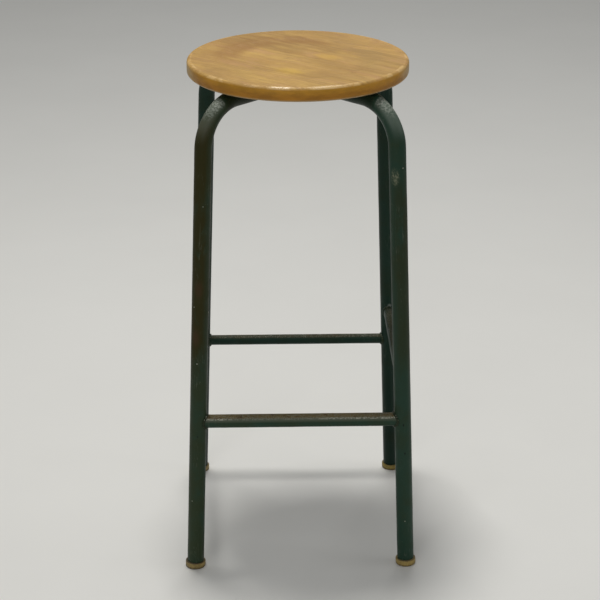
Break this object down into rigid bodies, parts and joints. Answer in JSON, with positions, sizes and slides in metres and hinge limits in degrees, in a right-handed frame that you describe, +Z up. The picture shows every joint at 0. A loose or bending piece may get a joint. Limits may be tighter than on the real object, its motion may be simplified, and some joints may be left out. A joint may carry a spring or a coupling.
{
  "type": "bar stool with footrest",
  "caption": "Tall round-seat stool: a dished wooden seat on two crossed bent-tube arches with a footrest rung, thinner rungs on the other sides and push-in feet.",
  "frame": {"origin": "on the floor, at the middle of the four feet", "axes": "+Z up, -Y towards the front, where the thicker footrest rung is, +X to the right seen from the front"},
  "size_m": [0.35, 0.35, 0.75],
  "materials": {
    "seat_wood": "clear varnish, worn satin",
    "frame_paint": "dark green enamel, worn and stained, semi-gloss",
    "weld_bead": "painted weld bead, worn to metal on its crests",
    "foot_plastic": "yellowed cream, scuffed",
    "fixing_steel": "zinc-plated, dulled"
  },
  "bodies": {
    "root": {"seat_stave_1": "seat_wood", "seat_stave_2": "seat_wood", "seat_stave_3": "seat_wood", "seat_stave_4": "seat_wood", "leg_arch": "frame_paint", "leg_front_right": "frame_paint", "leg_rear_left": "frame_paint", "footrest_front": "frame_paint", "rung_rear": "frame_paint", "rung_left": "frame_paint", "rung_right": "frame_paint", "weld_footrest_left": "weld_bead", "weld_footrest_right": "weld_bead", "weld_rear_left": "weld_bead", "weld_rear_right": "weld_bead", "weld_left_front": "weld_bead", "weld_left_rear": "weld_bead", "weld_right_front": "weld_bead", "weld_right_rear": "weld_bead", "weld_crossing_front": "weld_bead", "weld_crossing_rear": "weld_bead", "foot_front_left": "foot_plastic", "foot_front_right": "foot_plastic", "foot_rear_left": "foot_plastic", "foot_rear_right": "foot_plastic", "seat_screws": "fixing_steel", "seat_washers": "fixing_steel"}
  },
  "joints": []
}
